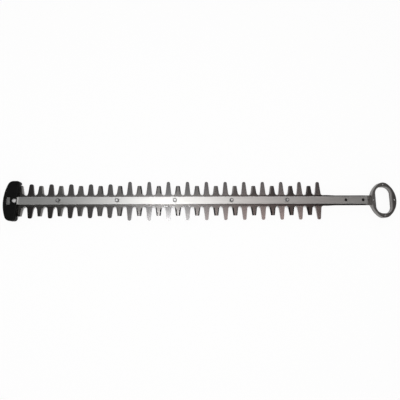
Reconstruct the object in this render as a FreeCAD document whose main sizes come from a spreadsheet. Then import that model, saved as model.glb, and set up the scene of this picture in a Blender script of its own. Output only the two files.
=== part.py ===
import FreeCAD, Part
import math
import os
import Sketcher
from FreeCAD import Placement, Rotation, Vector

# Single-action hedge trimmer blade, in millimetres.
# X runs along the blade: the tip guard is at -X and the drive yoke at +X. Z is up.
# The origin lies midway between the two mounting holes, on the guide bar's upper face.

SIZES = {
    # Teeth of both blades
    "tooth_pitch": 34,
    "guard_tooth_count": 16,
    "blunt_tooth_count": 5,
    "cutter_tooth_count": 16,
    "last_tooth_offset": 64.2,
    "strip_width": 19.4,
    "shank_width": 18,
    "shank_taper": 14,
    "root_round": 4,
    # Fixed guard comb, the lower blade
    "comb_thickness": 2.2,
    "comb_nose_offset": 607.5,
    "guard_tooth_span": 68.9,
    "guard_tip_width": 5.5,
    "guard_root_width": 10.9,
    "guard_tip_flat": 0.4,
    "blunt_tooth_span": 60,
    "blunt_tip_width": 6.4,
    # Sliding cutter, the upper blade
    "cutter_thickness": 2.2,
    "cutter_tooth_span": 53.4,
    "cutter_tip_width": 7.2,
    "cutter_root_width": 11.8,
    "cutter_tip_flat": 4.6,
    "bevel_width": 2.3,
    "bevel_land": 0.4,
    "bevel_end_span": 25.6,
    "stroke": 16,
    "running_gap": 0.1,
    # Guide bar
    "bar_width": 13,
    "bar_thickness": 5,
    "bar_tip_offset": 593.8,
    "bar_drive_offset": 24.3,
    "bar_edge_break": 0.2,
    "bar_lip_height": 0.6,
    "bar_lip_length": 1.8,
    "tongue_thickness": 2.5,
    "tongue_offset": 612.3,
    # Clamp bolts, lock nuts and the bushes that hold the blades apart
    "bolt_count": 5,
    "bolt_pitch": 100,
    "first_bolt_offset": 124.7,
    "bolt_diameter": 4,
    "bolt_hole_diameter": 4.3,
    "bolt_head_diameter": 9,
    "bolt_head_height": 2.5,
    "bolt_head_round": 0.8,
    "bolt_end_rise": 1,
    "bolt_end_chamfer": 0.5,
    "bolt_socket_depth": 1.3,
    "socket_width": 2.5,
    "nut_width": 7,
    "nut_height": 4.2,
    "nut_hex_height": 2.9,
    "nut_collar_diameter": 6.6,
    "nut_collar_roll": 0.6,
    "insert_sink": 0.3,
    "insert_clearance": 0.05,
    "nut_corner_break": 0.14,
    "nut_corner_angle": 30,
    "nut_bore": 4.1,
    "bush_diameter": 7,
    "bush_bore": 4.2,
    "slot_side_clearance": 0.2,
    "slot_end_clearance": 0.6,
    # Mounting holes
    "mount_pitch": 32,
    "mount_hole_diameter": 5.3,
    "sleeve_diameter": 8,
    # Drive yoke
    "yoke_offset": 56.2,
    "yoke_length": 46.5,
    "yoke_width": 64.8,
    "yoke_end_radius": 14,
    "yoke_window_length": 31.5,
    "yoke_window_width": 49.2,
    "yoke_window_flat": 5.5,
    "yoke_plate_thickness": 3.5,
    "yoke_neck_round": 3,
    "rivet_diameter": 2.6,
    "rivet_clearance": 0.05,
    "rivet_rise": 0.3,
    # Tip guard and its screw
    "cap_nose_offset": 617.3,
    "cap_nose_radius": 76,
    "cap_nose_lean": 3,
    "cap_width": 69.1,
    "cap_heel_offset": 592.6,
    "cap_far_reach": 1.8,
    "cap_near_setback": 2.8,
    "cap_sole_offset": 599,
    "cap_sole_tab": 18,
    "cap_waist": 15,
    "cap_waist_round": 15,
    "cap_nose_round": 10,
    "cap_lobe_round": 4.5,
    "cap_rise": 1.9,
    "cap_top_round": 2.5,
    "cap_foot_round": 1,
    "cap_slot_width": 58.6,
    "cap_slot_offset": 610.2,
    "cap_slot_round": 5,
    "cap_slot_clearance": 0.3,
    "cap_window_offset": 604.9,
    "cap_fit": 0.1,
    "screw_offset": 598.6,
    "screw_head_diameter": 7.6,
    "screw_head_height": 2.2,
    "screw_rim_height": 0.6,
    "screw_socket_depth": 1.3,
    "screw_recess_diameter": 8.4,
    "screw_recess_depth": 2.5,
    "thin_nut_height": 2.2,
    "thin_nut_fit": 0.15,
}

# Heights, as formulas on the sheet
BAR_BOTTOM = "-Sizes.bar_thickness"
TONGUE_TOP = "(Sizes.tongue_thickness - Sizes.bar_thickness)"
CUTTER_TOP = "-(Sizes.bar_thickness + Sizes.running_gap)"
CUTTER_BOTTOM = f"({CUTTER_TOP} - Sizes.cutter_thickness)"
COMB_TOP = f"({CUTTER_BOTTOM} - Sizes.running_gap)"
COMB_BOTTOM = f"({COMB_TOP} - Sizes.comb_thickness)"
FLOOR = f"({COMB_BOTTOM} - Sizes.bolt_head_height)"
BUSH_HEIGHT = "(Sizes.cutter_thickness + 2 * Sizes.running_gap)"
SCREW_SEAT = "(Sizes.cap_rise - Sizes.screw_recess_depth)"

# Inner radius of a lock nut's collar
LOCK_RECESS = "(Sizes.nut_collar_diameter / 2 - Sizes.nut_collar_roll)"

# Places along the blade, as formulas on the sheet
LAST_TOOTH = "-Sizes.last_tooth_offset"
FIRST_TOOTH = f"({LAST_TOOTH} - (Sizes.guard_tooth_count - 1) * Sizes.tooth_pitch)"
FIRST_CUTTER_TOOTH = f"({FIRST_TOOTH} - Sizes.tooth_pitch / 2)"
LAST_BOLT = "-(Sizes.first_bolt_offset + (Sizes.bolt_count - 1) * Sizes.bolt_pitch)"
SCREW = "-Sizes.screw_offset"
BAR_END = "Sizes.bar_drive_offset"

# Shape of the yoke's oval: two side arcs and two end arcs that meet smoothly
YOKE_HALF_LENGTH = "(Sizes.yoke_length / 2)"
YOKE_END_CENTRE = "(Sizes.yoke_width / 2 - Sizes.yoke_end_radius)"
YOKE_SIDE_RADIUS = (
    f"(({YOKE_HALF_LENGTH}^2 + {YOKE_END_CENTRE}^2 - Sizes.yoke_end_radius^2)"
    f" / (2 * ({YOKE_HALF_LENGTH} - Sizes.yoke_end_radius)))"
)
YOKE_BAND_X = "((Sizes.yoke_length + Sizes.yoke_window_length) / 4)"
YOKE_BAND_Y = "((Sizes.yoke_width + Sizes.yoke_window_width) / 4)"

# Two lengths closer than this count as equal when edges are looked for
SAME = 0.002

doc = FreeCAD.newDocument("hedge_trimmer_blade")
sheet = doc.addObject("Spreadsheet::Sheet", "Sizes")
for row, (alias, number) in enumerate(SIZES.items(), start=1):
    sheet.set(f"A{row}", alias)
    sheet.set(f"B{row}", str(number))
    sheet.setAlias(f"B{row}", alias)
doc.recompute()


def value(formula):
    """Number that a formula on the sheet gives now."""
    return float(sheet.evalExpression(formula))


def origin_feature(body, role):
    """Plane or axis of a body's own origin."""
    return next(item for item in body.Origin.OriginFeatures if item.Role == role)


def new_body(name, x="0", z="0"):
    """Body of one sub-part, placed by formulas."""
    body = doc.addObject("PartDesign::Body", name)
    body.Label = name
    body.setExpression("Placement.Base.x", x)
    body.setExpression("Placement.Base.z", z)
    return body


def flat_sketch(body, name, height="0"):
    """Sketch seen from above, at a height in the body."""
    sketch = body.newObject("Sketcher::SketchObject", name)
    sketch.AttachmentSupport = (origin_feature(body, "XY_Plane"), [""])
    sketch.MapMode = "FlatFace"
    sketch.setExpression("AttachmentOffset.Base.z", height)
    return sketch


def side_sketch(body, name):
    """Sketch seen from the front, with Z as its upright axis."""
    sketch = body.newObject("Sketcher::SketchObject", name)
    sketch.AttachmentSupport = (origin_feature(body, "XZ_Plane"), [""])
    sketch.MapMode = "FlatFace"
    return sketch


def pin(sketch, geometry, point, x, y):
    """Tie one point of a sketch to two formulas."""
    for kind, formula in (("DistanceX", x), ("DistanceY", y)):
        constraint = Sketcher.Constraint(kind, -1, 1, geometry, point, value(formula))
        index = sketch.addConstraint(constraint)
        sketch.setExpression(f"Constraints[{index}]", formula)


def polygon(sketch, corners):
    """Closed outline of straight lines through corners given as formulas."""
    points = [Vector(value(x), value(y), 0) for x, y in corners]
    first = sketch.GeometryCount
    count = len(corners)
    for i in range(count):
        sketch.addGeometry(Part.LineSegment(points[i], points[(i + 1) % count]), False)
    for i in range(count):
        following = first + (i + 1) % count
        sketch.addConstraint(Sketcher.Constraint("Coincident", first + i, 2, following, 1))
        pin(sketch, first + i, 1, *corners[i])


def rounded_polygon(sketch, corners):
    """Closed outline whose corners, given as formulas, are round where they have a radius."""
    points = [Vector(value(x), value(y), 0) for x, y, radius in corners]
    count = len(corners)
    arc_points = []
    for i, (x, y, radius) in enumerate(corners):
        back = (points[i - 1] - points[i]).normalize()
        ahead = (points[(i + 1) % count] - points[i]).normalize()
        half_angle = back.getAngle(ahead) / 2
        reach = value(radius) / math.tan(half_angle)
        depth = value(radius) / math.sin(half_angle) - value(radius)
        middle = points[i] + (back + ahead).normalize() * depth
        arc_points.append((points[i] + back * reach, middle, points[i] + ahead * reach))
    lines = []
    for i in range(count):
        side = Part.LineSegment(arc_points[i][2], arc_points[(i + 1) % count][0])
        lines.append(sketch.addGeometry(side, False))
    for i, (x, y, radius) in enumerate(corners):
        before, after = lines[i - 1], lines[i]
        if value(radius) == 0:
            sketch.addConstraint(Sketcher.Constraint("Coincident", before, 2, after, 1))
            pin(sketch, after, 1, x, y)
            continue
        corner = sketch.addGeometry(Part.Point(points[i]), True)
        pin(sketch, corner, 1, x, y)
        for line in (before, after):
            sketch.addConstraint(Sketcher.Constraint("PointOnObject", corner, 1, line))
        start, middle, end = arc_points[i]
        arc = sketch.addGeometry(Part.Arc(start, middle, end), False)
        is_forward = sketch.getPoint(arc, 1).distanceToPoint(start) < SAME
        first, last = (1, 2) if is_forward else (2, 1)
        sketch.addConstraint(Sketcher.Constraint("Tangent", before, 2, arc, first))
        sketch.addConstraint(Sketcher.Constraint("Tangent", arc, last, after, 1))
        index = sketch.addConstraint(Sketcher.Constraint("Radius", arc, value(radius)))
        sketch.setExpression(f"Constraints[{index}]", radius)


def bowed_outline(sketch, corners, middle, radius):
    """Closed outline of straight lines, whose last side is an arc through a middle point."""
    points = [Vector(value(x), value(y), 0) for x, y in corners]
    for start, end in zip(points, points[1:]):
        sketch.addGeometry(Part.LineSegment(start, end), False)
    through = Vector(value(middle[0]), value(middle[1]), 0)
    bow = sketch.addGeometry(Part.Arc(points[-1], through, points[0]), False)
    for i in range(bow):
        sketch.addConstraint(Sketcher.Constraint("Coincident", i, 2, i + 1, 1))
        pin(sketch, i, 1, *corners[i])
    sketch.addConstraint(Sketcher.Constraint("Coincident", bow, 2, 0, 1))
    pin(sketch, bow, 1, *corners[-1])
    index = sketch.addConstraint(Sketcher.Constraint("Radius", bow, value(radius)))
    sketch.setExpression(f"Constraints[{index}]", radius)


def rectangle(sketch, x_from, x_to, width):
    """Rectangle along X, centred on the X axis."""
    near = f"-({width}) / 2"
    far = f"({width}) / 2"
    polygon(sketch, [(x_from, near), (x_to, near), (x_to, far), (x_from, far)])


def circle(sketch, x, y, diameter):
    """Circle with its centre and diameter tied to formulas."""
    outline = Part.Circle(Vector(value(x), value(y), 0), Vector(0, 0, 1), value(diameter) / 2)
    index = sketch.addGeometry(outline, False)
    pin(sketch, index, 3, x, y)
    diameter_rule = sketch.addConstraint(Sketcher.Constraint("Diameter", index, value(diameter)))
    sketch.setExpression(f"Constraints[{diameter_rule}]", diameter)


def round_slot(sketch, x_from, x_to, width):
    """Slot along X with round ends, between two end centres."""
    radius = value(width) / 2
    left = value(x_from)
    right = value(x_to)
    up = Vector(0, 0, 1)
    quarter = math.pi / 2
    ends = [
        Part.ArcOfCircle(Part.Circle(Vector(left, 0, 0), up, radius), quarter, 3 * quarter),
        Part.ArcOfCircle(Part.Circle(Vector(right, 0, 0), up, radius), -quarter, quarter),
    ]
    sides = [
        Part.LineSegment(Vector(left, -radius, 0), Vector(right, -radius, 0)),
        Part.LineSegment(Vector(right, radius, 0), Vector(left, radius, 0)),
    ]
    arc_left, arc_right = [sketch.addGeometry(end, False) for end in ends]
    near, far = [sketch.addGeometry(side, False) for side in sides]
    for arc, arc_point, line, line_point in (
        (arc_left, 2, near, 1),
        (near, 2, arc_right, 1),
        (arc_right, 2, far, 1),
        (far, 2, arc_left, 1),
    ):
        sketch.addConstraint(Sketcher.Constraint("Tangent", arc, arc_point, line, line_point))
    pin(sketch, arc_left, 3, x_from, "0")
    pin(sketch, arc_right, 3, x_to, "0")
    index = sketch.addConstraint(Sketcher.Constraint("Diameter", arc_left, value(width)))
    sketch.setExpression(f"Constraints[{index}]", width)


def pad(body, sketch, height):
    """Solid raised from a sketch."""
    feature = body.newObject("PartDesign::Pad", sketch.Name + "_pad")
    feature.Profile = sketch
    feature.setExpression("Length", height)
    doc.recompute()
    return feature


def cut(body, sketch, depth=None, upward=False):
    """Pocket from a sketch: a stated depth down or up, or right through both ways."""
    before = body.Shape.Volume
    feature = body.newObject("PartDesign::Pocket", sketch.Name + "_cut")
    feature.Profile = sketch
    if depth is None:
        feature.Type = "ThroughAll"
        feature.Midplane = True
    else:
        feature.Reversed = upward
        feature.setExpression("Length", depth)
    doc.recompute()
    if body.Shape.Volume >= before:
        raise RuntimeError(f"{feature.Name} cuts nothing")
    return feature


def revolve(body, sketch):
    """Solid turned about the sketch's upright axis."""
    feature = body.newObject("PartDesign::Revolution", sketch.Name + "_turned")
    feature.Profile = sketch
    feature.ReferenceAxis = (sketch, ["V_Axis"])
    feature.Angle = 360
    doc.recompute()
    return feature


def repeat(body, features, spacing, count):
    """Row of copies along X, of some features or, with none named, of the whole body so far."""
    feature = body.newObject("PartDesign::LinearPattern", body.Tip.Name + "_row")
    if features:
        feature.Originals = features
    else:
        feature.TransformMode = "Whole shape"
    feature.Direction = (origin_feature(body, "X_Axis"), [""])
    feature.Mode = "Spacing"
    feature.setExpression("Offset", spacing)
    feature.setExpression("Occurrences", count)
    body.Tip = feature
    doc.recompute()
    return feature


def upright_edges(feature, wanted):
    """Names of the vertical edges of a feature whose x and y pass a test."""
    names = []
    for number, edge in enumerate(feature.Shape.Edges, start=1):
        box = edge.BoundBox
        is_upright = box.XLength < SAME and box.YLength < SAME
        if is_upright and wanted(box.XMin, box.YMin):
            names.append(f"Edge{number}")
    return names


def level_edges(feature, height):
    """Names of the edges of a feature that lie flat at one height."""
    names = []
    for number, edge in enumerate(feature.Shape.Edges, start=1):
        box = edge.BoundBox
        if is_same(box.ZMin, height) and is_same(box.ZMax, height):
            names.append(f"Edge{number}")
    return names


def dress(body, kind, name, base, edges, size):
    """Fillet or chamfer on named edges."""
    if not edges:
        raise RuntimeError(f"{name} finds no edges")
    feature = body.newObject("PartDesign::" + kind, name)
    feature.Base = (base, edges)
    feature.setExpression("Radius" if kind == "Fillet" else "Size", size)
    doc.recompute()
    return feature


def is_same(number, target):
    """Whether two lengths agree."""
    return abs(number - target) < SAME


def blade_strip(body, name, nose, shank_start, shank_end, thickness):
    """Strip that carries a blade's teeth, narrowing to its shank."""
    strip = "Sizes.strip_width / 2"
    shank = "Sizes.shank_width / 2"
    taper_end = f"{shank_start} + Sizes.shank_taper"
    sketch = flat_sketch(body, name)
    polygon(sketch, [
        (nose, f"-{strip}"),
        (shank_start, f"-{strip}"),
        (taper_end, f"-{shank}"),
        (shank_end, f"-{shank}"),
        (shank_end, shank),
        (taper_end, shank),
        (shank_start, strip),
        (nose, strip),
    ])
    return pad(body, sketch, thickness)


def tooth_pair(body, name, x, span, tip_width, tip_flat, root_width, thickness):
    """Two opposite teeth with round tips and roots, drawn through the strip as one outline."""
    tip_y = f"{span} / 2"
    root_y = "Sizes.strip_width / 2"
    tip_round = f"({tip_width} - {tip_flat}) / 2"
    root_round = "Sizes.root_round"
    quarter = [
        (f"{tip_width} / 2", tip_y, tip_round),
        (f"{root_width} / 2", root_y, root_round),
        (f"({root_width} / 2 + {root_round})", root_y, "0"),
    ]
    corners = [(f"{x} + {across}", along, radius) for across, along, radius in quarter]
    corners += [(f"{x} + {across}", f"-{along}", radius) for across, along, radius in reversed(quarter)]
    corners += [(f"{x} - {across}", f"-{along}", radius) for across, along, radius in quarter]
    corners += [(f"{x} - {across}", along, radius) for across, along, radius in reversed(quarter)]
    sketch = flat_sketch(body, name)
    rounded_polygon(sketch, corners)
    return pad(body, sketch, thickness)


def bolt_places():
    """Formula for the place of each clamp bolt, from the drive end to the tip."""
    return [f"-(Sizes.first_bolt_offset + {i} * Sizes.bolt_pitch)" for i in range(SIZES["bolt_count"])]


def drill_bar_holes(body, name, start):
    """Holes for clamp bolts, tip screw and mounting bolts, in a body that starts at a place."""
    sketch = flat_sketch(body, name)
    for place in bolt_places() + [SCREW]:
        circle(sketch, f"{place} - {start}", "0", "Sizes.bolt_hole_diameter")
    for side in ("-", "+"):
        circle(sketch, f"{side}Sizes.mount_pitch / 2 - {start}", "0", "Sizes.mount_hole_diameter")
    return cut(body, sketch)


def make_guide_bar():
    """Flat bar above the blades, stepped down to a tongue under the tip guard."""
    body = new_body("guide_bar", z=BAR_BOTTOM)
    outline = flat_sketch(body, "bar_outline")
    rectangle(outline, "-Sizes.bar_tip_offset", BAR_END, "Sizes.bar_width")
    pad(body, outline, "Sizes.bar_thickness")
    tongue = flat_sketch(body, "bar_tongue")
    rectangle(tongue, "-Sizes.tongue_offset", BAR_END, "Sizes.bar_width")
    feature = pad(body, tongue, "Sizes.tongue_thickness")
    top = value("Sizes.bar_thickness")
    side_edges = [name for name in level_edges(feature, top)
                  if feature.Shape.getElement(name).BoundBox.YLength < SAME]
    dress(body, "Chamfer", "bar_sides", feature, side_edges, "Sizes.bar_edge_break")
    drill_bar_holes(body, "bar_holes", "0")
    end = "-Sizes.bar_tip_offset"
    lip = side_sketch(body, "bar_lip")
    polygon(lip, [
        (end, "Sizes.tongue_thickness"),
        (f"{end} + Sizes.bar_lip_length", "Sizes.bar_thickness"),
        (end, "Sizes.bar_thickness + Sizes.bar_lip_height"),
    ])
    ramp = pad(body, lip, "Sizes.bar_width - 2 * Sizes.bar_edge_break")
    ramp.Midplane = True
    doc.recompute()
    return body


def make_guard_comb():
    """Fixed lower blade: long blunt teeth, the first few cut shorter beside the tip guard."""
    body = new_body("guard_comb", x=FIRST_TOOTH, z=COMB_BOTTOM)
    body.AllowCompound = True
    thickness = "Sizes.comb_thickness"
    last = "(Sizes.guard_tooth_count - 1) * Sizes.tooth_pitch"
    shank_start = f"({last} + Sizes.tooth_pitch / 2)"
    nose = f"-Sizes.comb_nose_offset - {FIRST_TOOTH}"
    blunt = tooth_pair(body, "blunt_tooth", "0", "Sizes.blunt_tooth_span", "Sizes.blunt_tip_width",
                       "Sizes.guard_tip_flat", "Sizes.guard_root_width", thickness)
    repeat(body, [blunt], "Sizes.tooth_pitch", "Sizes.blunt_tooth_count")
    full = tooth_pair(body, "guard_tooth", "Sizes.blunt_tooth_count * Sizes.tooth_pitch",
                      "Sizes.guard_tooth_span", "Sizes.guard_tip_width", "Sizes.guard_tip_flat",
                      "Sizes.guard_root_width", thickness)
    repeat(body, [full], "Sizes.tooth_pitch", "Sizes.guard_tooth_count - Sizes.blunt_tooth_count")
    blade_strip(body, "comb_strip", nose, shank_start, f"{BAR_END} - {FIRST_TOOTH}", thickness)
    drill_bar_holes(body, "comb_holes", FIRST_TOOTH)
    return body


def grind_bevels(body):
    """Sloped cutting edges along both flanks of every cutter tooth, cut as a wheel would."""
    tip_y = "Sizes.cutter_tooth_span / 2"
    lean = ("atan((Sizes.cutter_root_width - Sizes.cutter_tip_width)"
            " / (Sizes.cutter_tooth_span - Sizes.strip_width))")
    sketch = side_sketch(body, "bevel_profile")
    sketch.AttachmentOffset = Placement(Vector(0, 0, 0), Rotation(Vector(0, 1, 0), value(lean)))
    sketch.setExpression("AttachmentOffset.Rotation.Angle", lean)
    sketch.setExpression("AttachmentOffset.Base.x", "Sizes.cutter_tip_width / 2")
    sketch.setExpression("AttachmentOffset.Base.z", f"-{tip_y}")
    above = "2 * Sizes.cutter_thickness"
    polygon(sketch, [
        ("0", "Sizes.bevel_land"),
        ("Sizes.bevel_width", "Sizes.bevel_land"),
        ("Sizes.bevel_width", above),
        ("-Sizes.bevel_width", above),
        ("-Sizes.bevel_width", "Sizes.cutter_thickness"),
    ])
    length = f"(Sizes.cutter_tooth_span - Sizes.bevel_end_span) / 2 / cos({lean})"
    bevel = cut(body, sketch, length, upward=True)
    both = body.newObject("PartDesign::MultiTransform", "bevel_flanks")
    both.Originals = [bevel]
    mirrors = []
    for role in ("YZ_Plane", "XZ_Plane"):
        mirror = doc.addObject("PartDesign::Mirrored", "bevel_across_" + role)
        mirror.MirrorPlane = (origin_feature(body, role), [""])
        mirrors.append(mirror)
    both.Transformations = mirrors
    body.Tip = both
    doc.recompute()


def yoke_oval(body, name, x, height, thickness):
    """Oval plate of the yoke: two side arcs, then rounded ends."""
    half = value(YOKE_HALF_LENGTH)
    radius = value(YOKE_SIDE_RADIUS)
    shift = radius - half
    centre = value(x)
    tip = (radius**2 - shift**2) ** 0.5
    up_point = Vector(centre, tip, 0)
    down_point = Vector(centre, -tip, 0)
    sketch = flat_sketch(body, name, height)
    right = sketch.addGeometry(Part.Arc(down_point, Vector(centre + half, 0, 0), up_point), False)
    left = sketch.addGeometry(Part.Arc(up_point, Vector(centre - half, 0, 0), down_point), False)
    sketch.addConstraint(Sketcher.Constraint("Coincident", right, 2, left, 1))
    sketch.addConstraint(Sketcher.Constraint("Coincident", left, 2, right, 1))
    lean = f"({YOKE_SIDE_RADIUS} - {YOKE_HALF_LENGTH})"
    pin(sketch, right, 3, f"{x} - {lean}", "0")
    pin(sketch, left, 3, f"{x} + {lean}", "0")
    for arc in (right, left):
        index = sketch.addConstraint(Sketcher.Constraint("Radius", arc, radius))
        sketch.setExpression(f"Constraints[{index}]", YOKE_SIDE_RADIUS)
    feature = pad(body, sketch, thickness)
    edges = upright_edges(feature, lambda ex, ey: is_same(ex, centre) and is_same(abs(ey), tip))
    return dress(body, "Fillet", name + "_ends", feature, edges, "Sizes.yoke_end_radius")


def cut_yoke_window(body, name, x):
    """Window that the drive eccentric turns in, and the four rivet holes."""
    window = flat_sketch(body, name)
    radius = "(Sizes.yoke_window_length - Sizes.yoke_window_flat) / 2"
    side_x = "Sizes.yoke_window_length / 2"
    side_y = "Sizes.yoke_window_width / 2"
    rounded_polygon(window, [
        (f"{x} - {side_x}", f"-{side_y}", radius),
        (f"{x} + {side_x}", f"-{side_y}", radius),
        (f"{x} + {side_x}", side_y, radius),
        (f"{x} - {side_x}", side_y, radius),
    ])
    cut(body, window)
    holes = flat_sketch(body, name + "_rivets")
    for place_x, place_y in rivet_places(x):
        circle(holes, place_x, place_y, "Sizes.rivet_diameter + 2 * Sizes.rivet_clearance")
    cut(body, holes)


def rivet_places(x):
    """Formulas for the four rivets, on the middle of the yoke's band."""
    return [
        (f"{x} - {YOKE_BAND_X}", "0"),
        (f"{x} + {YOKE_BAND_X}", "0"),
        (x, f"-{YOKE_BAND_Y}"),
        (x, YOKE_BAND_Y),
    ]


def make_cutter_blade():
    """Sliding upper blade, with bevelled teeth, bush slots and the yoke's middle layer."""
    body = new_body("cutter_blade", x=FIRST_CUTTER_TOOTH, z=CUTTER_BOTTOM)
    body.AllowCompound = True
    start = FIRST_CUTTER_TOOTH
    thickness = "Sizes.cutter_thickness"
    last = "(Sizes.cutter_tooth_count - 1) * Sizes.tooth_pitch"
    yoke = f"(Sizes.yoke_offset - {start})"
    neck = f"({yoke} - {YOKE_BAND_X})"
    shank_start = f"({last} + Sizes.tooth_pitch)"
    tooth_pair(body, "cutter_tooth", "0", "Sizes.cutter_tooth_span", "Sizes.cutter_tip_width",
               "Sizes.cutter_tip_flat", "Sizes.cutter_root_width", thickness)
    grind_bevels(body)
    repeat(body, [], "Sizes.tooth_pitch", "Sizes.cutter_tooth_count")
    nose = "-(Sizes.cutter_root_width / 2 + Sizes.root_round)"
    blade_strip(body, "cutter_strip", nose, shank_start, neck, thickness)
    yoke_oval(body, "cutter_yoke", yoke, "0", thickness)
    shank_y = value("Sizes.shank_width") / 2
    neck_x = value(neck)
    reach = value(YOKE_BAND_X)
    edges = upright_edges(body.Tip, lambda x, y: is_same(abs(y), shank_y) and abs(x - neck_x) < reach)
    dress(body, "Fillet", "cutter_neck", body.Tip, edges, "Sizes.yoke_neck_round")
    cut_yoke_window(body, "cutter_window", yoke)
    travel = "(Sizes.stroke / 2 + Sizes.slot_end_clearance)"
    slots = flat_sketch(body, "bush_slots")
    width = "Sizes.bush_diameter + 2 * Sizes.slot_side_clearance"
    for place in bolt_places():
        round_slot(slots, f"{place} - {travel} - {start}", f"{place} + {travel} - {start}", width)
    round_slot(slots, f"{SCREW} - 2 * {travel} - {start}", f"{SCREW} + {travel} - {start}", width)
    wide = "Sizes.sleeve_diameter + 2 * Sizes.slot_side_clearance"
    for side in ("-", "+"):
        place = f"{side}Sizes.mount_pitch / 2"
        round_slot(slots, f"{place} - {travel} - {start}", f"{place} + {travel} - {start}", wide)
    cut(body, slots)
    return body


def make_yoke_plates():
    """Plates riveted above and below the cutter's end, which make the yoke thick enough to drive."""
    bodies = []
    for name, bottom in (
        ("yoke_upper_plate", CUTTER_TOP),
        ("yoke_lower_plate", f"{CUTTER_BOTTOM} - Sizes.yoke_plate_thickness"),
    ):
        body = new_body(name, x="Sizes.yoke_offset", z=bottom)
        yoke_oval(body, name + "_oval", "0", "0", "Sizes.yoke_plate_thickness")
        cut_yoke_window(body, name + "_window", "0")
        bodies.append(body)
    return bodies


def make_yoke_rivets():
    """Four rivets through the yoke's three layers, a little proud on both faces."""
    bottom = f"{CUTTER_BOTTOM} - Sizes.yoke_plate_thickness - Sizes.rivet_rise"
    body = new_body("yoke_rivets", x="Sizes.yoke_offset", z=bottom)
    body.AllowCompound = True
    sketch = flat_sketch(body, "rivet_circles")
    for x, y in rivet_places("0"):
        circle(sketch, x, y, "Sizes.rivet_diameter")
    height = "Sizes.cutter_thickness + 2 * (Sizes.yoke_plate_thickness + Sizes.rivet_rise)"
    feature = pad(body, sketch, height)
    edges = level_edges(feature, 0.0) + level_edges(feature, value(height))
    dress(body, "Chamfer", "rivet_heads", feature, edges, "Sizes.rivet_rise")
    return body


def make_clamp_bolts():
    """Row of bolts that hold guide bar, bushes and comb together, heads below."""
    body = new_body("clamp_bolts", x=LAST_BOLT, z=FLOOR)
    body.AllowCompound = True
    head = "Sizes.bolt_head_diameter / 2"
    shank = "Sizes.bolt_diameter / 2"
    end = f"(Sizes.nut_height + Sizes.bolt_end_rise - {FLOOR})"
    sketch = side_sketch(body, "bolt_profile")
    polygon(sketch, [
        ("0", "0"),
        (f"{head} - Sizes.bolt_head_round", "0"),
        (head, "Sizes.bolt_head_round"),
        (head, "Sizes.bolt_head_height"),
        (shank, "Sizes.bolt_head_height"),
        (shank, f"{end} - Sizes.bolt_end_chamfer"),
        (f"{shank} - Sizes.bolt_end_chamfer", end),
        ("0", end),
    ])
    bolt = revolve(body, sketch)
    socket = flat_sketch(body, "bolt_socket")
    hexagon(socket, "Sizes.socket_width")
    hollow = cut(body, socket, "Sizes.bolt_socket_depth", upward=True)
    repeat(body, [bolt, hollow], "Sizes.bolt_pitch", "Sizes.bolt_count")
    return body


def hexagon(sketch, width):
    """Regular hexagon with two flats across X."""
    flat = f"({width}) / 2"
    tip = f"({width}) / sqrt(3)"
    polygon(sketch, [
        ("0", f"-{tip}"),
        (flat, f"-{tip} / 2"),
        (flat, f"{tip} / 2"),
        ("0", tip),
        (f"-{flat}", f"{tip} / 2"),
        (f"-{flat}", f"-{tip} / 2"),
    ])


def hex_nut(body, name, height):
    """Hexagon nut with its upper corners turned off."""
    sketch = flat_sketch(body, name + "_hexagon")
    hexagon(sketch, "Sizes.nut_width")
    circle(sketch, "0", "0", "Sizes.nut_bore")
    block = pad(body, sketch, height)
    inner = "(Sizes.nut_width / 2 - Sizes.nut_corner_break)"
    past_corners = "(Sizes.nut_width * 2 / 3)"
    drop = f"({past_corners} - {inner}) * tan(Sizes.nut_corner_angle)"
    profile = side_sketch(body, name + "_corner")
    polygon(profile, [
        (inner, height),
        (past_corners, f"{height} - {drop}"),
        (past_corners, height),
    ])
    groove = body.newObject("PartDesign::Groove", name + "_turned")
    groove.Profile = profile
    groove.ReferenceAxis = (profile, ["V_Axis"])
    groove.Angle = 360
    doc.recompute()
    return [block, groove]


def make_lock_nuts():
    """Row of lock nuts on the guide bar, each with a rolled collar round its locking ring."""
    body = new_body("lock_nuts", x=LAST_BOLT)
    body.AllowCompound = True
    features = hex_nut(body, "lock_nut", "Sizes.nut_hex_height")
    outside = "Sizes.nut_collar_diameter / 2"
    roll = "Sizes.nut_collar_roll"
    foot = f"(Sizes.nut_hex_height - {roll})"
    shoulder = f"(Sizes.nut_height - {roll})"
    profile = side_sketch(body, "nut_collar")
    bowed_outline(profile, [
        (LOCK_RECESS, "Sizes.nut_height"),
        (LOCK_RECESS, foot),
        (outside, foot),
        (outside, shoulder),
    ], (f"{LOCK_RECESS} + {roll} / sqrt(2)", f"{shoulder} + {roll} / sqrt(2)"), roll)
    features.append(revolve(body, profile))
    repeat(body, features, "Sizes.bolt_pitch", "Sizes.bolt_count")
    return body


def make_nut_inserts():
    """Row of nylon locking rings, one in each lock nut's collar."""
    body = new_body("nut_inserts", x=LAST_BOLT, z="Sizes.nut_hex_height")
    body.AllowCompound = True
    sketch = flat_sketch(body, "insert_ring")
    circle(sketch, "0", "0", f"2 * ({LOCK_RECESS} - Sizes.insert_clearance)")
    circle(sketch, "0", "0", "Sizes.nut_bore")
    ring = pad(body, sketch, "Sizes.nut_height - Sizes.insert_sink - Sizes.nut_hex_height")
    repeat(body, [ring], "Sizes.bolt_pitch", "Sizes.bolt_count")
    return body


def make_bush(name, place, diameter, bore):
    """Round spacer between comb and guide bar, which the cutter's slot runs along."""
    body = new_body(name, x=place, z=COMB_TOP)
    sketch = flat_sketch(body, name + "_ring")
    circle(sketch, "0", "0", diameter)
    circle(sketch, "0", "0", bore)
    pad(body, sketch, BUSH_HEIGHT)
    return body


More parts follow.
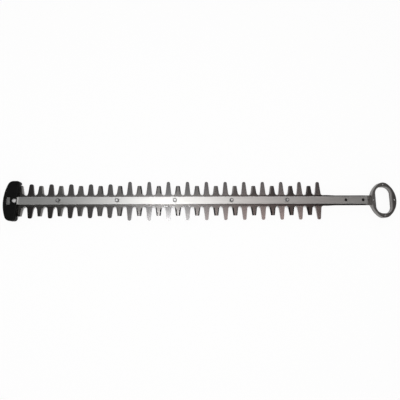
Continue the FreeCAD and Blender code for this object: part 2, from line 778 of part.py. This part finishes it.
def make_bushes():
    """Bushes at the clamp bolts and the tip screw, and sleeves at the mounting holes."""
    diameter = "Sizes.bush_diameter"
    bore = "Sizes.bush_bore"
    bodies = []
    for number, place in enumerate(bolt_places(), start=1):
        bodies.append(make_bush(f"guide_bush_{number}", place, diameter, bore))
    bodies.append(make_bush("tip_bush", SCREW, diameter, bore))
    for name, side in (("mount_sleeve_front", "-"), ("mount_sleeve_rear", "+")):
        place = f"{side}Sizes.mount_pitch / 2"
        bodies.append(make_bush(name, place, "Sizes.sleeve_diameter", "Sizes.mount_hole_diameter"))
    return bodies


def cap_outline(body):
    """Rounded nose, two lobes behind it and a waist between them, seen from above."""
    nose = "-Sizes.cap_nose_offset"
    heel = "-Sizes.cap_heel_offset"
    side = "Sizes.cap_width / 2"
    waist = "Sizes.cap_waist / 2"
    radius = "Sizes.cap_nose_radius"
    lean = "Sizes.cap_nose_lean"
    near_shoulder = f"{nose} + {radius} - sqrt({radius}^2 - ({side} - {lean})^2)"
    far_shoulder = f"{nose} + {radius} - sqrt({radius}^2 - ({side} + {lean})^2)"
    sketch = flat_sketch(body, "cap_outline")
    bowed_outline(sketch, [
        (near_shoulder, f"-{side}"),
        (f"{heel} - Sizes.cap_near_setback", f"-{side}"),
        (heel, f"-{waist}"),
        (heel, waist),
        (f"{heel} + Sizes.cap_far_reach", side),
        (far_shoulder, side),
    ], (nose, f"-{lean}"), radius)
    return sketch


def make_tip_guard():
    """Moulded cap over the blade's end, slotted for the blades and held by one screw."""
    body = new_body("tip_guard", z=FLOOR)
    feature = pad(body, cap_outline(body), f"Sizes.cap_rise - {FLOOR}")
    side_y = value("Sizes.cap_width") / 2
    middle_x = -(value("Sizes.cap_heel_offset") + value("Sizes.cap_nose_offset")) / 2
    nose_edges = upright_edges(feature, lambda x, y: is_same(abs(y), side_y) and x < middle_x)
    feature = dress(body, "Fillet", "cap_nose_corners", feature, nose_edges, "Sizes.cap_nose_round")
    lobe_edges = upright_edges(feature, lambda x, y: is_same(abs(y), side_y) and x > middle_x)
    feature = dress(body, "Fillet", "cap_lobe_corners", feature, lobe_edges, "Sizes.cap_lobe_round")
    waist_y = value("Sizes.cap_waist") / 2
    waist_edges = upright_edges(feature, lambda x, y: is_same(abs(y), waist_y))
    feature = dress(body, "Fillet", "cap_waist_corners", feature, waist_edges, "Sizes.cap_waist_round")
    top = value(f"Sizes.cap_rise - {FLOOR}")
    feature = dress(body, "Fillet", "cap_top", feature, level_edges(feature, top), "Sizes.cap_top_round")
    feature = dress(body, "Fillet", "cap_foot", feature, level_edges(feature, 0.0), "Sizes.cap_foot_round")

    beyond = "(2 * Sizes.cap_far_reach - Sizes.cap_heel_offset)"
    blade_floor = f"({COMB_BOTTOM} - {FLOOR})"
    blade_top = f"({CUTTER_TOP} + Sizes.cap_slot_clearance - {FLOOR})"
    blade_slot = flat_sketch(body, "cap_blade_slot", blade_floor)
    slot_y = "Sizes.cap_slot_width / 2"
    rounded_polygon(blade_slot, [
        ("-Sizes.cap_slot_offset", f"-{slot_y}", "Sizes.cap_slot_round"),
        (beyond, f"-{slot_y}", "0"),
        (beyond, slot_y, "0"),
        ("-Sizes.cap_slot_offset", slot_y, "Sizes.cap_slot_round"),
    ])
    cut(body, blade_slot, f"{blade_top} - {blade_floor}", upward=True)
    tongue_end = "-Sizes.tongue_offset - Sizes.cap_fit"
    tongue_width = "Sizes.bar_width + 2 * Sizes.cap_fit"
    tongue_slot = flat_sketch(body, "cap_tongue_slot", f"{BAR_BOTTOM} - {FLOOR}")
    rectangle(tongue_slot, tongue_end, beyond, tongue_width)
    cut(body, tongue_slot, "Sizes.tongue_thickness", upward=True)
    window = flat_sketch(body, "cap_window", f"{TONGUE_TOP} - {FLOOR}")
    rectangle(window, tongue_end, "-Sizes.cap_window_offset", tongue_width)
    cut(body, window, f"Sizes.cap_rise - {TONGUE_TOP}", upward=True)

    notch = flat_sketch(body, "cap_bar_notch", f"{TONGUE_TOP} - {FLOOR}")
    rectangle(notch, "-Sizes.bar_tip_offset - Sizes.cap_fit", beyond, tongue_width)
    cut(body, notch, f"Sizes.cap_rise - {TONGUE_TOP}", upward=True)
    sole = flat_sketch(body, "cap_sole")
    for side in ("-", ""):
        polygon(sole, [
            ("-Sizes.cap_sole_offset", f"{side}Sizes.cap_sole_tab / 2"),
            (beyond, f"{side}Sizes.cap_sole_tab / 2"),
            (beyond, f"{side}Sizes.cap_width"),
            ("-Sizes.cap_sole_offset", f"{side}Sizes.cap_width"),
        ])
    cut(body, sole, blade_floor, upward=True)

    hole = flat_sketch(body, "cap_screw_hole", f"{TONGUE_TOP} - {FLOOR}")
    circle(hole, SCREW, "0", "Sizes.bolt_hole_diameter")
    cut(body, hole, f"Sizes.cap_rise - {TONGUE_TOP}", upward=True)
    recess = flat_sketch(body, "cap_screw_recess", f"{SCREW_SEAT} - {FLOOR}")
    circle(recess, SCREW, "0", "Sizes.screw_recess_diameter")
    cut(body, recess, "Sizes.screw_recess_depth", upward=True)
    nut_pocket = flat_sketch(body, "cap_nut_pocket")
    nut_pocket.setExpression("AttachmentOffset.Base.x", SCREW)
    hexagon(nut_pocket, "Sizes.nut_width + 2 * Sizes.thin_nut_fit")
    cut(body, nut_pocket, blade_floor, upward=True)
    return body


def make_tip_screw():
    """Domed socket screw through tip guard, tongue, bush and comb."""
    nut_bottom = f"({COMB_BOTTOM} - Sizes.thin_nut_height)"
    body = new_body("tip_screw", x=SCREW, z=nut_bottom)
    head = "Sizes.screw_head_diameter / 2"
    shank = "Sizes.bolt_diameter / 2"
    seat = f"({SCREW_SEAT} - {nut_bottom})"
    top = f"({seat} + Sizes.screw_head_height)"
    rise = "(Sizes.screw_head_height - Sizes.screw_rim_height)"
    dome = f"((({head})^2 + {rise}^2) / (2 * {rise}))"
    sketch = side_sketch(body, "screw_profile")
    bowed_outline(sketch, [
        ("0", top),
        ("0", "0"),
        (f"{shank} - Sizes.bolt_end_chamfer", "0"),
        (shank, "Sizes.bolt_end_chamfer"),
        (shank, seat),
        (head, seat),
        (head, f"{seat} + Sizes.screw_rim_height"),
    ], (f"{head} / 2", f"{top} - {dome} + sqrt({dome}^2 - ({head} / 2)^2)"), dome)
    revolve(body, sketch)
    socket = flat_sketch(body, "screw_socket", top)
    hexagon(socket, "Sizes.socket_width")
    cut(body, socket, "Sizes.screw_socket_depth")
    return body


def make_tip_nut():
    """Thin nut in the tip guard's pocket, drawn up against the comb."""
    body = new_body("tip_nut", x=SCREW, z=f"{COMB_BOTTOM} - Sizes.thin_nut_height")
    hex_nut(body, "tip_nut", "Sizes.thin_nut_height")
    return body


def export(bodies, folder):
    """Check every object of the document, then write each sub-part."""
    doc.recompute()
    for item in doc.Objects:
        if "Invalid" in item.State or "Touched" in item.State:
            raise RuntimeError(f"{item.Name} did not build: {item.State}")
        shape = getattr(item, "Shape", None)
        if shape is not None and not shape.isNull() and not shape.isValid():
            raise RuntimeError(f"{item.Name} has a faulty shape")
    os.makedirs(folder, exist_ok=True)
    for body in bodies:
        if not body.Shape.Solids:
            raise RuntimeError(f"{body.Label} holds no solid")
        body.Shape.exportStep(os.path.join(folder, body.Label + ".step"))


parts = [make_guide_bar(), make_guard_comb(), make_cutter_blade()]
parts += make_yoke_plates()
parts += [make_yoke_rivets(), make_clamp_bolts(), make_lock_nuts(), make_nut_inserts()]
parts += make_bushes()
parts += [make_tip_guard(), make_tip_screw(), make_tip_nut()]
export(parts, "parts")
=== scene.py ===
# Hedge trimmer blade: finish of every surface, studio light and the photograph's camera.

import math

import bpy
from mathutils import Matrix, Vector


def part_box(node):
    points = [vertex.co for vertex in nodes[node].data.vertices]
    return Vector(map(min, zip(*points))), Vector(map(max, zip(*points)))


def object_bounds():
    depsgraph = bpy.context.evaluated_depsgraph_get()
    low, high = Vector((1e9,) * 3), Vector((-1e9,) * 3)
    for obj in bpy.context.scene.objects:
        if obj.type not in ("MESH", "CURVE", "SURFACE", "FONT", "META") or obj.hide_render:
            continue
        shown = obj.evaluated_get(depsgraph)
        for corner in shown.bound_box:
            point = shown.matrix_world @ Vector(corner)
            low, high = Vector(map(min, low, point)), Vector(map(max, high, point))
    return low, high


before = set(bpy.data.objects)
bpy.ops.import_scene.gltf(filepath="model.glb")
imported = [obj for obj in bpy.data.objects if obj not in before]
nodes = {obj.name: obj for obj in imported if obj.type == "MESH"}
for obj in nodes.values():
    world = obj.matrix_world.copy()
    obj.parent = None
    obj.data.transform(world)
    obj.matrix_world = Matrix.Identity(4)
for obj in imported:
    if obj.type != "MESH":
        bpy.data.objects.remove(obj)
cad_low, cad_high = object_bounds()

MM = 0.001
WHITE = (1.0, 1.0, 1.0)
DOWN = Vector((0, 0, -1))

# Camera, fitted to the tooth tips and bolts; its turn is in degrees
CAMERA_PLACE = Vector((-317.5, -89.7, 609.9)) * MM
CAMERA_TURN = (8.43, -3.38, -0.65)
CAMERA_SENSOR = 36.0
CAMERA_LENS = 31.53
CAMERA_NEAR = 0.01
CAMERA_FAR = 50

# Places along the part
BAR_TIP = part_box("guide_bar")[0].x
BAR_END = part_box("guide_bar")[1].x
YOKE_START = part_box("yoke_upper_plate")[0].x
NECK_BLEND = 3 * MM
BLADE_MIDDLE = -320 * MM
LIP_START = BAR_TIP + 22.3 * MM
LIP_END = BAR_TIP + 18.3 * MM
LIP_BLEND = 1 * MM

# Guide bar; every grain is in cells per metre along X, Y and Z
BAR_LINES = (22, 2600, 2600)
BAR_LINES_DETAIL = 4.0
BAR_CLOUDS = (16, 60, 60)
BAR_DARK = (0.50, 0.50, 0.49)
BAR_LIGHT = (0.60, 0.60, 0.59)
BAR_ROUGH = (0.38, 0.42)
BAR_CLOUDED = (-0.02, 0.02)
BAR_RELIEF = 0.15
BAR_DEPTH = 0.02 * MM
LIP_ROUGHER = 0.25

# Blades; the three tints are at the tip, in the middle and where the drive end starts; they are the
# steel's colour, and their drift along the blade is painted light, lighter or darker where the lamps
# fall more or less on it
BLADE_MARKS = (1500, 40, 1500)
BLADE_CLOUDS = (9, 30, 30)
BLADE_UNEVEN = (-0.08, 0.08)
BLADE_ROUGH = (0.2, 0.22)
BLADE_RELIEF = 0.03
BLADE_DEPTH = 0.02 * MM
COMB_PAINTED_LIGHT_TINTS = ((0.15, 0.134, 0.13), (0.188, 0.188, 0.189), (0.295, 0.267, 0.261))
COMB_DRIVE_START = 0.0
CUTTER_PAINTED_LIGHT_TINTS = ((0.235, 0.226, 0.218), (0.228, 0.222, 0.217), (0.088, 0.079, 0.077))
CUTTER_DRIVE_START = -130 * MM

# Drive yoke, whose steel is darker towards its end
YOKE_MOTTLE = (160, 160, 160)
YOKE_MOTTLE_DETAIL = 4.0
YOKE_PITS = (1800, 1800, 1800)
YOKE_DARK = (0.202, 0.195, 0.189)
YOKE_LIGHT = (0.26, 0.251, 0.243)
YOKE_END = (0.128, 0.12, 0.117)
YOKE_ROUGH = (0.38, 0.46)
YOKE_RELIEF = 0.12
YOKE_DEPTH = 0.03 * MM

# Cutter's own part of the yoke: how much rougher it is than the teeth
YOKE_ROUGHER = 0.21

# Small steel parts: finish, darkest and lightest grey, roughness, and the nodes that have it
FASTENER_MARKS = (700, 700, 2200)
FASTENER_SMOOTHER = 0.05
FASTENER_ROUGHER = 0.06
FASTENERS = (
    ("rivet_finish", 0.6, 0.7, 0.35, ["yoke_rivets"]),
    ("zinc_finish", 0.55, 0.65, 0.32, ["clamp_bolts", "tip_nut"]),
    ("nut_finish", 0.15, 0.21, 0.3, ["lock_nuts"]),
    ("screw_finish", 0.9, 0.96, 0.8, ["tip_screw"]),
    ("bush_finish", 0.4, 0.5, 0.3, [name for name in nodes if "bush" in name or "sleeve" in name]),
)

# Plastic of the tip guard and nylon of the locking rings
CAP_PITS = (1500, 1500, 1500)
CAP_PITS_DETAIL = 2.0
CAP_CLOUDS = (70, 70, 70)
CAP_DARK = (0.003, 0.003, 0.003)
CAP_LIGHT = (0.006, 0.006, 0.006)
CAP_ROUGH = (0.5, 0.62)
CAP_SHINE = 0.1
CAP_RELIEF = 0.15
CAP_DEPTH = 0.04 * MM
INSERT_CLOUDS = (900, 900, 900)
INSERT_DARK = (0.012, 0.012, 0.014)
INSERT_LIGHT = (0.02, 0.02, 0.023)
INSERT_ROUGH = 0.5

# Floor; its glow fades out where the part covers it closely, which paints shade into the holes and
# under the part
FLOOR_SIZE = 14.0
FLOOR_COLOUR = (0.8, 0.8, 0.8, 1)
FLOOR_FAINT = (0.14, 0.14, 0.14, 1)
FLOOR_GLOW = 0.9
PAINTED_SHADE_REACH = 20 * MM
PAINTED_SHADE_DARK = 0.2
PAINTED_SHADE_LIGHT = 0.34

# Lamps, in metres and watts: three above the part, and a box low at each end for the bevels
BOX_AIM = Vector((-300, 0, 0)) * MM
KEY_PLACE = Vector((-388, -75, 1300)) * MM
KEY_SIZE = (0.11, 0.12)
KEY_POWER = 5.1
SIDE_PLACE = Vector((82, 40, 1200)) * MM
SIDE_SIZE = (0.63, 0.15)
SIDE_POWER = 0.635
SIDE_COLOUR = (1.0, 0.82, 0.78)
FAR_PLACE = Vector((-313, 296, 1300)) * MM
FAR_SIZE = (1.5, 0.2)
FAR_POWER = 0.42
RIGHT_PLACE = Vector((2399, 250, 2080)) * MM
RIGHT_SIZE = (2.8, 0.85)
RIGHT_POWER = 6.4
LEFT_PLACE = Vector((-3081, 1290, 1479)) * MM
LEFT_SIZE = (1.1, 0.9)
LEFT_POWER = 6.2

# Room; the pairs are parts of a direction's length between which a surface fades in or out
AMBIENT = 0.055
WALL_GLOW = 0.75
WALL_SIDE = (0.45, 0.65)
WALL_TOP = (0.6, 0.8)
BACKDROP_TOP = (0.08, 0.16)
BACKDROP_GLOW = 0.93


def add(tree, kind, inputs=None, **settings):
    """New node with its settings, and with inputs that are values or linked outputs."""
    node = tree.nodes.new(kind)
    for name, setting in settings.items():
        setattr(node, name, setting)
    for name, given in (inputs or {}).items():
        if isinstance(given, bpy.types.NodeSocket):
            tree.links.new(given, node.inputs[name])
        else:
            node.inputs[name].default_value = given
    return node


def math_node(tree, operation, first, second):
    """Output of a sum, product or other operation on two values or outputs."""
    return add(tree, "ShaderNodeMath", {0: first, 1: second}, operation=operation).outputs[0]


def new_finish(name, **inputs):
    """Material whose shader takes plain values; patterns are linked in afterwards."""
    material = bpy.data.materials.new(name)
    material.use_nodes = True
    tree = material.node_tree
    shader = tree.nodes["Principled BSDF"]
    for socket, number in inputs.items():
        shader.inputs[socket.replace("_", " ")].default_value = number
    return material, tree, shader


def grain(tree, per_metre, detail=3.0, roughness=0.55):
    """Noise from 0 to 1 with its own number of cells per metre along X, Y and Z."""
    place = add(tree, "ShaderNodeTexCoord").outputs["Object"]
    stretched = add(tree, "ShaderNodeMapping", {"Vector": place, "Scale": per_metre})
    noise = add(tree, "ShaderNodeTexNoise", {
        "Vector": stretched.outputs["Vector"],
        "Scale": 1.0,
        "Detail": detail,
        "Roughness": roughness,
    })
    return noise.outputs["Fac"]


def spread(tree, fac, low, high, start=0.3, end=0.7):
    """A pattern's middle range mapped to the range low to high."""
    mapped = add(tree, "ShaderNodeMapRange", {
        "Value": fac,
        "From Min": start,
        "From Max": end,
        "To Min": low,
        "To Max": high,
    })
    return mapped.outputs["Result"]


def colour_mix(tree, fac, dark, light):
    """Output of a two-colour mix, where each colour is a triple or another output."""
    mix = add(tree, "ShaderNodeMix", data_type="RGBA")
    sockets = [socket for socket in mix.inputs if socket.type == "RGBA"]
    factor = next(socket for socket in mix.inputs if socket.name == "Factor" and socket.type == "VALUE")
    tree.links.new(fac, factor)
    for socket, given in zip(sockets, (dark, light)):
        if isinstance(given, bpy.types.NodeSocket):
            tree.links.new(given, socket)
        else:
            socket.default_value = (*given, 1)
    return next(socket for socket in mix.outputs if socket.type == "RGBA")


def paint(tree, shader, pattern, dark, light):
    """Base colour that runs from dark to light with a pattern."""
    colour = colour_mix(tree, spread(tree, pattern, 0.0, 1.0), dark, light)
    tree.links.new(colour, shader.inputs["Base Color"])


def relief(tree, shader, height, strength, depth):
    """Bump on a shader from a height pattern, with its depth in metres."""
    bump = add(tree, "ShaderNodeBump", {"Height": height, "Strength": strength, "Distance": depth})
    tree.links.new(bump.outputs["Normal"], shader.inputs["Normal"])


def along(tree, start, end):
    """Output that runs from 0 to 1 between two places on the part's length."""
    place = add(tree, "ShaderNodeTexCoord").outputs["Object"]
    split = add(tree, "ShaderNodeSeparateXYZ", {"Vector": place})
    return spread(tree, split.outputs["X"], 0.0, 1.0, start, end)


def bar_finish():
    """Bright plated steel, brushed along the bar and rougher on the lip at its tip."""
    material, tree, shader = new_finish("bar_finish", Metallic=1.0)
    lines = grain(tree, BAR_LINES, detail=BAR_LINES_DETAIL)
    clouds = grain(tree, BAR_CLOUDS)
    paint(tree, shader, lines, BAR_DARK, BAR_LIGHT)
    brushed = spread(tree, lines, *BAR_ROUGH)
    rough = math_node(tree, "ADD", brushed, spread(tree, clouds, *BAR_CLOUDED))
    past_start = along(tree, LIP_START, LIP_START - LIP_BLEND)
    past_end = along(tree, LIP_END, LIP_END - LIP_BLEND)
    lip = math_node(tree, "SUBTRACT", past_start, past_end)
    ground = math_node(tree, "MULTIPLY", lip, LIP_ROUGHER)
    tree.links.new(math_node(tree, "ADD", rough, ground), shader.inputs["Roughness"])
    relief(tree, shader, lines, BAR_RELIEF, BAR_DEPTH)
    return material


def blade_finish(name, painted_light_tints, drive_start):
    """Ground blade steel with faint marks across the teeth and a tint that drifts along the blade,
    which is the steel's colour with painted light standing in for how the lamps fall along it.
    """
    tip, middle, drive = painted_light_tints
    material, tree, shader = new_finish(name, Metallic=1.0)
    marks = grain(tree, BLADE_MARKS)
    uneven = spread(tree, grain(tree, BLADE_CLOUDS), *BLADE_UNEVEN)
    # painted light: the steel colour runs through the tints along the blade, lighter or darker as the
    # lamps fall on it
    early = math_node(tree, "ADD", along(tree, cad_low.x, BLADE_MIDDLE), uneven)
    late = math_node(tree, "ADD", along(tree, BLADE_MIDDLE, drive_start), uneven)
    painted_light_teeth = colour_mix(tree, late, colour_mix(tree, early, tip, middle), drive)
    neck = along(tree, BAR_END - NECK_BLEND, BAR_END)
    tree.links.new(colour_mix(tree, neck, painted_light_teeth, YOKE_LIGHT), shader.inputs["Base Color"])
    stamped = math_node(tree, "MULTIPLY", neck, YOKE_ROUGHER)
    rough = math_node(tree, "ADD", spread(tree, marks, *BLADE_ROUGH), stamped)
    tree.links.new(rough, shader.inputs["Roughness"])
    relief(tree, shader, marks, BLADE_RELIEF, BLADE_DEPTH)
    return material


def yoke_finish():
    """Dark stamped steel, a little mottled and darker towards its outer end."""
    material, tree, shader = new_finish("yoke_finish", Metallic=1.0)
    mottle = grain(tree, YOKE_MOTTLE, detail=YOKE_MOTTLE_DETAIL)
    stamped = colour_mix(tree, spread(tree, mottle, 0.0, 1.0), YOKE_DARK, YOKE_LIGHT)
    colour = colour_mix(tree, along(tree, YOKE_START, cad_high.x), stamped, YOKE_END)
    tree.links.new(colour, shader.inputs["Base Color"])
    tree.links.new(spread(tree, mottle, *YOKE_ROUGH), shader.inputs["Roughness"])
    relief(tree, shader, grain(tree, YOKE_PITS), YOKE_RELIEF, YOKE_DEPTH)
    return material


def fastener_finish(name, dark, light, rough):
    """Plated steel of small parts in a range of greys, with fine turned marks."""
    material, tree, shader = new_finish(name, Metallic=1.0)
    marks = grain(tree, FASTENER_MARKS)
    paint(tree, shader, marks, (dark, dark, dark), (light, light, light))
    turned = spread(tree, marks, rough - FASTENER_SMOOTHER, rough + FASTENER_ROUGHER)
    tree.links.new(turned, shader.inputs["Roughness"])
    return material


def cap_finish():
    """Black moulded plastic with a fine grain."""
    material, tree, shader = new_finish("cap_finish", Specular_IOR_Level=CAP_SHINE)
    pits = grain(tree, CAP_PITS, detail=CAP_PITS_DETAIL)
    paint(tree, shader, grain(tree, CAP_CLOUDS), CAP_DARK, CAP_LIGHT)
    tree.links.new(spread(tree, pits, *CAP_ROUGH), shader.inputs["Roughness"])
    relief(tree, shader, pits, CAP_RELIEF, CAP_DEPTH)
    return material


def insert_finish():
    """Dark nylon of the locking rings."""
    material, tree, shader = new_finish("insert_finish", Roughness=INSERT_ROUGH)
    paint(tree, shader, grain(tree, INSERT_CLOUDS), INSERT_DARK, INSERT_LIGHT)
    return material


def dress(finish, *names):
    """Give CAD nodes a finish."""
    for name in names:
        for slot in nodes[name].material_slots:
            slot.material = finish


def visible_rays(tree):
    """Two outputs: 1 for camera rays, and 1 for the rays that metal and glass send out."""
    rays = add(tree, "ShaderNodeLightPath").outputs
    mirrored = math_node(tree, "MAXIMUM", rays["Is Glossy Ray"], rays["Is Transmission Ray"])
    return rays["Is Camera Ray"], mirrored


def make_floor():
    """Plain white floor that keeps a faint shadow; its glow is seen but is no lamp, and it is dimmed
    near the part as painted shade.
    """
    size = FLOOR_SIZE / 2
    mesh = bpy.data.meshes.new("floor")
    height = cad_low.z
    mesh.from_pydata(
        [(-size, -size, height), (size, -size, height), (size, size, height), (-size, size, height)],
        [],
        [(0, 1, 2, 3)],
    )
    floor = bpy.data.objects.new("floor", mesh)
    bpy.context.scene.collection.objects.link(floor)
    material = bpy.data.materials.new("floor_finish")
    material.use_nodes = True
    tree = material.node_tree
    tree.nodes.clear()
    matt = add(tree, "ShaderNodeBsdfDiffuse", {"Color": FLOOR_COLOUR})
    faint = add(tree, "ShaderNodeBsdfDiffuse", {"Color": FLOOR_FAINT})
    # painted shade: the glow is dimmed by ambient occlusion in holes and where the part lies close
    # above the floor
    painted_shade = add(tree, "ShaderNodeAmbientOcclusion", {"Distance": PAINTED_SHADE_REACH})
    glow_with_painted_shade = spread(tree, painted_shade.outputs["AO"], 0.0, FLOOR_GLOW, PAINTED_SHADE_DARK, PAINTED_SHADE_LIGHT)
    glow = add(tree, "ShaderNodeEmission", {"Color": (*WHITE, 1), "Strength": glow_with_painted_shade})
    seen = add(tree, "ShaderNodeAddShader", {0: faint.outputs[0], 1: glow.outputs[0]})
    shown = math_node(tree, "MAXIMUM", *visible_rays(tree))
    pick = add(tree, "ShaderNodeMixShader", {0: shown, 1: matt.outputs[0], 2: seen.outputs[0]})
    add(tree, "ShaderNodeOutputMaterial", {"Surface": pick.outputs[0]})
    material.cycles.emission_sampling = "NONE"
    mesh.materials.append(material)


def make_world():
    """Dim room with light walls in front and behind, and a white backdrop round the horizon."""
    world = bpy.data.worlds.new("studio")
    world.use_nodes = True
    bpy.context.scene.world = world
    tree = world.node_tree
    room = tree.nodes["Background"]
    room.inputs["Color"].default_value = (*WHITE, 1)
    place = add(tree, "ShaderNodeTexCoord").outputs["Generated"]
    ways = add(tree, "ShaderNodeSeparateXYZ", {"Vector": place}).outputs
    across = add(tree, "ShaderNodeMath", {0: ways["Y"]}, operation="ABSOLUTE").outputs[0]
    facing = spread(tree, across, 0.0, WALL_GLOW, *WALL_SIDE)
    wall = math_node(tree, "MULTIPLY", facing, spread(tree, ways["Z"], 1.0, 0.0, *WALL_TOP))
    dim = math_node(tree, "ADD", wall, AMBIENT)
    camera, mirrored = visible_rays(tree)
    horizon = math_node(tree, "MULTIPLY", spread(tree, ways["Z"], 1.0, 0.0, *BACKDROP_TOP), mirrored)
    seen = math_node(tree, "MAXIMUM", camera, horizon)
    backdrop = math_node(tree, "MULTIPLY", seen, BACKDROP_GLOW)
    tree.links.new(math_node(tree, "MAXIMUM", dim, backdrop), room.inputs["Strength"])


def make_lamp(name, place, aim, size, power, colour=WHITE):
    """Soft lamp of a length and width, turned towards a point."""
    lamp = bpy.data.lights.new(name, "AREA")
    lamp.shape = "RECTANGLE"
    lamp.size, lamp.size_y = size
    lamp.energy = power
    lamp.color = colour
    holder = bpy.data.objects.new(name, lamp)
    holder.location = place
    holder.rotation_mode = "QUATERNION"
    holder.rotation_quaternion = (aim - place).to_track_quat("-Z", "Y")
    bpy.context.scene.collection.objects.link(holder)


def make_camera():
    """Camera at the photograph's place."""
    camera = bpy.data.cameras.new("camera")
    camera.sensor_width = CAMERA_SENSOR
    camera.lens = CAMERA_LENS
    camera.clip_start = CAMERA_NEAR
    camera.clip_end = CAMERA_FAR
    holder = bpy.data.objects.new("camera", camera)
    holder.location = CAMERA_PLACE
    holder.rotation_euler = [math.radians(angle) for angle in CAMERA_TURN]
    bpy.context.scene.collection.objects.link(holder)
    bpy.context.scene.camera = holder


dress(bar_finish(), "guide_bar")
dress(blade_finish("comb_finish", COMB_PAINTED_LIGHT_TINTS, COMB_DRIVE_START), "guard_comb")
dress(blade_finish("cutter_finish", CUTTER_PAINTED_LIGHT_TINTS, CUTTER_DRIVE_START), "cutter_blade")
dress(yoke_finish(), "yoke_upper_plate", "yoke_lower_plate")
for finish_name, dark_grey, light_grey, roughness, wearers in FASTENERS:
    dress(fastener_finish(finish_name, dark_grey, light_grey, roughness), *wearers)
dress(insert_finish(), "nut_inserts")
dress(cap_finish(), "tip_guard")

make_floor()
make_world()
make_lamp("key_lamp", KEY_PLACE, KEY_PLACE + DOWN, KEY_SIZE, KEY_POWER)
make_lamp("side_lamp", SIDE_PLACE, SIDE_PLACE + DOWN, SIDE_SIZE, SIDE_POWER, SIDE_COLOUR)
make_lamp("far_lamp", FAR_PLACE, FAR_PLACE + DOWN, FAR_SIZE, FAR_POWER)
make_lamp("right_box", RIGHT_PLACE, BOX_AIM, RIGHT_SIZE, RIGHT_POWER)
make_lamp("left_box", LEFT_PLACE, BOX_AIM, LEFT_SIZE, LEFT_POWER)
make_camera()
bpy.context.scene.view_settings.view_transform = "Standard"
